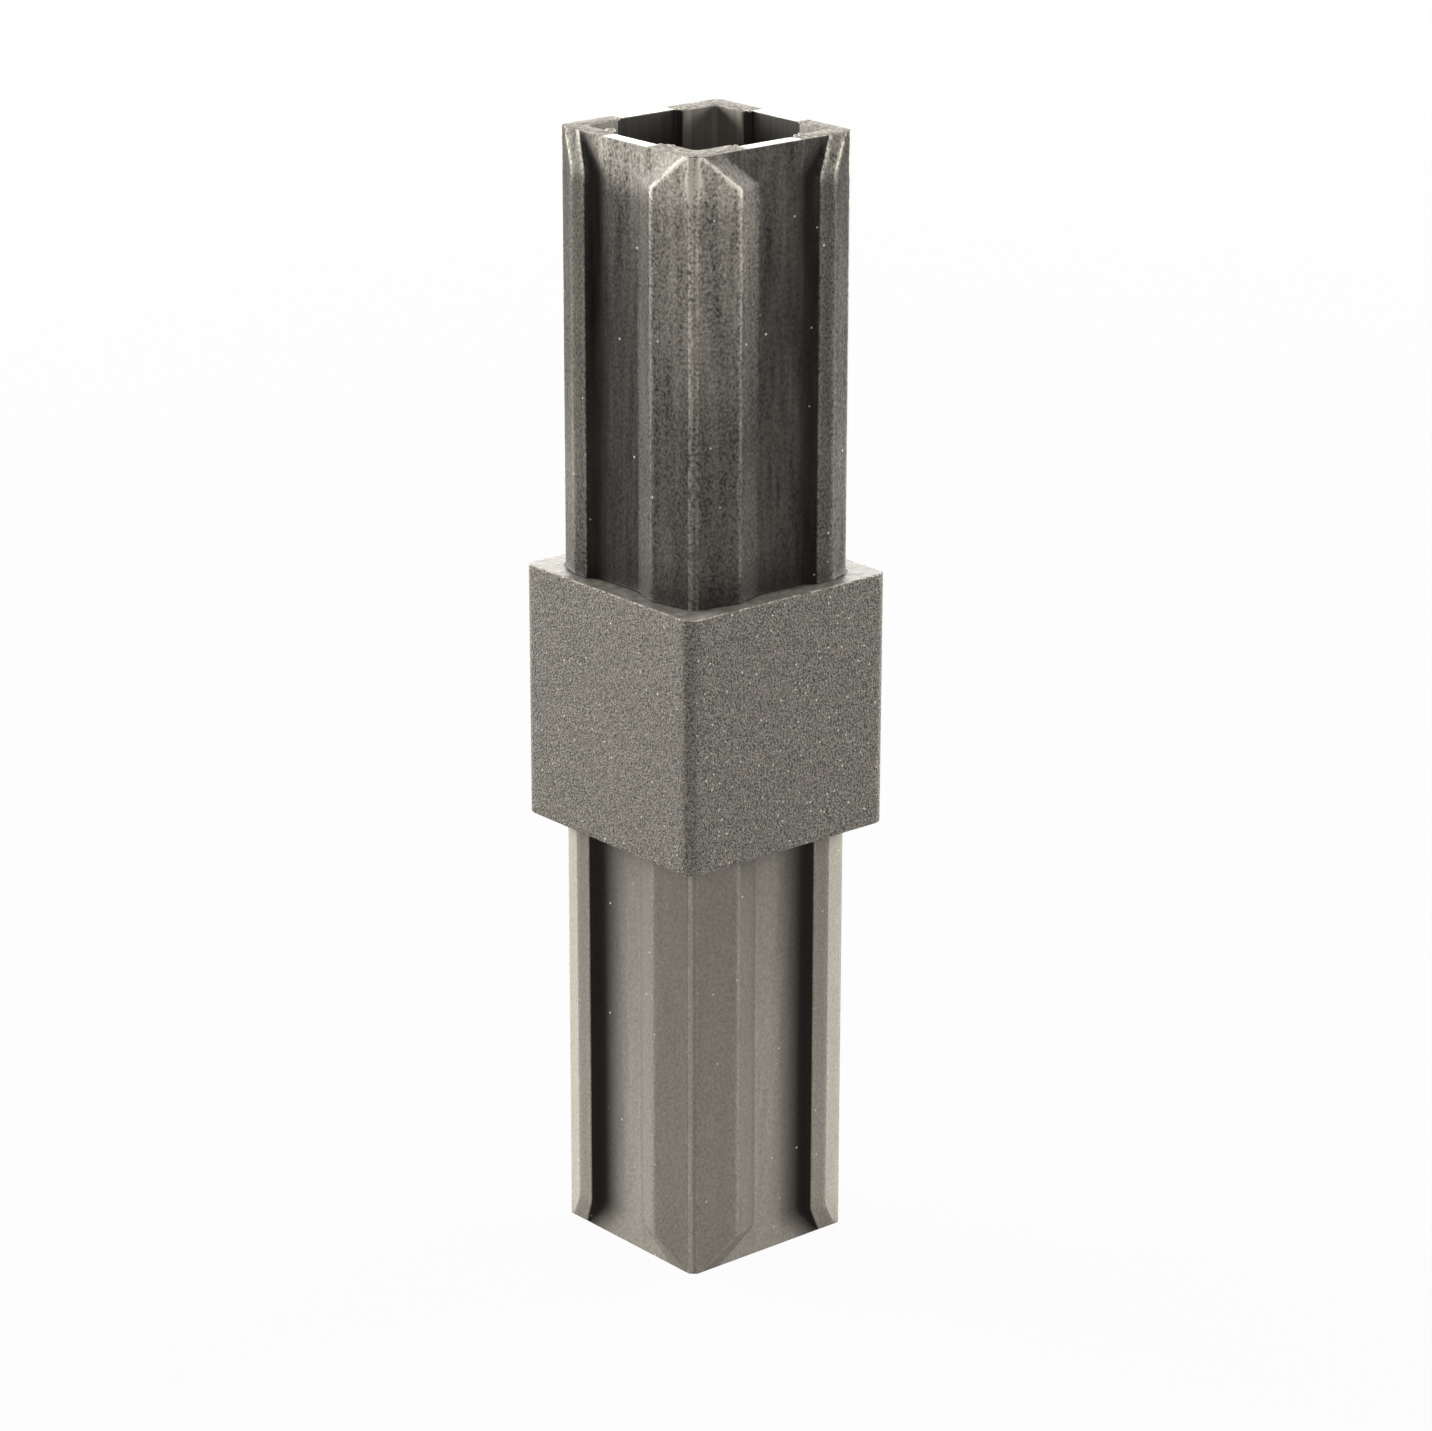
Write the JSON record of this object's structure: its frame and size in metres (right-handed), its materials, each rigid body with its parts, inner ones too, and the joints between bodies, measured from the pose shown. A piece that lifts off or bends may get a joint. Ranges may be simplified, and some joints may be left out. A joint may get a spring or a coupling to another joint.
{
  "type": "square tube connector",
  "caption": "Straight one-piece plastic connector: a square collar with a ribbed hollow spigot above and below it, pushed into the ends of two square tubes.",
  "frame": {"origin": "centre of the lower spigot's end face, on which the part stands", "axes": "+Z along both spigots, up through the collar; X and Y square to the collar's side faces, with the ribs of long flank at the -X-Y and +X+Y corners"},
  "size_m": [0.025, 0.025, 0.112],
  "materials": {
    "nylon": "dark grey glass-filled nylon: coarse spark-eroded grain on the collar, drawn streaks and fine grain on the spigots, light dust"
  },
  "bodies": {
    "root": {"tube_connector": "nylon"}
  },
  "joints": []
}
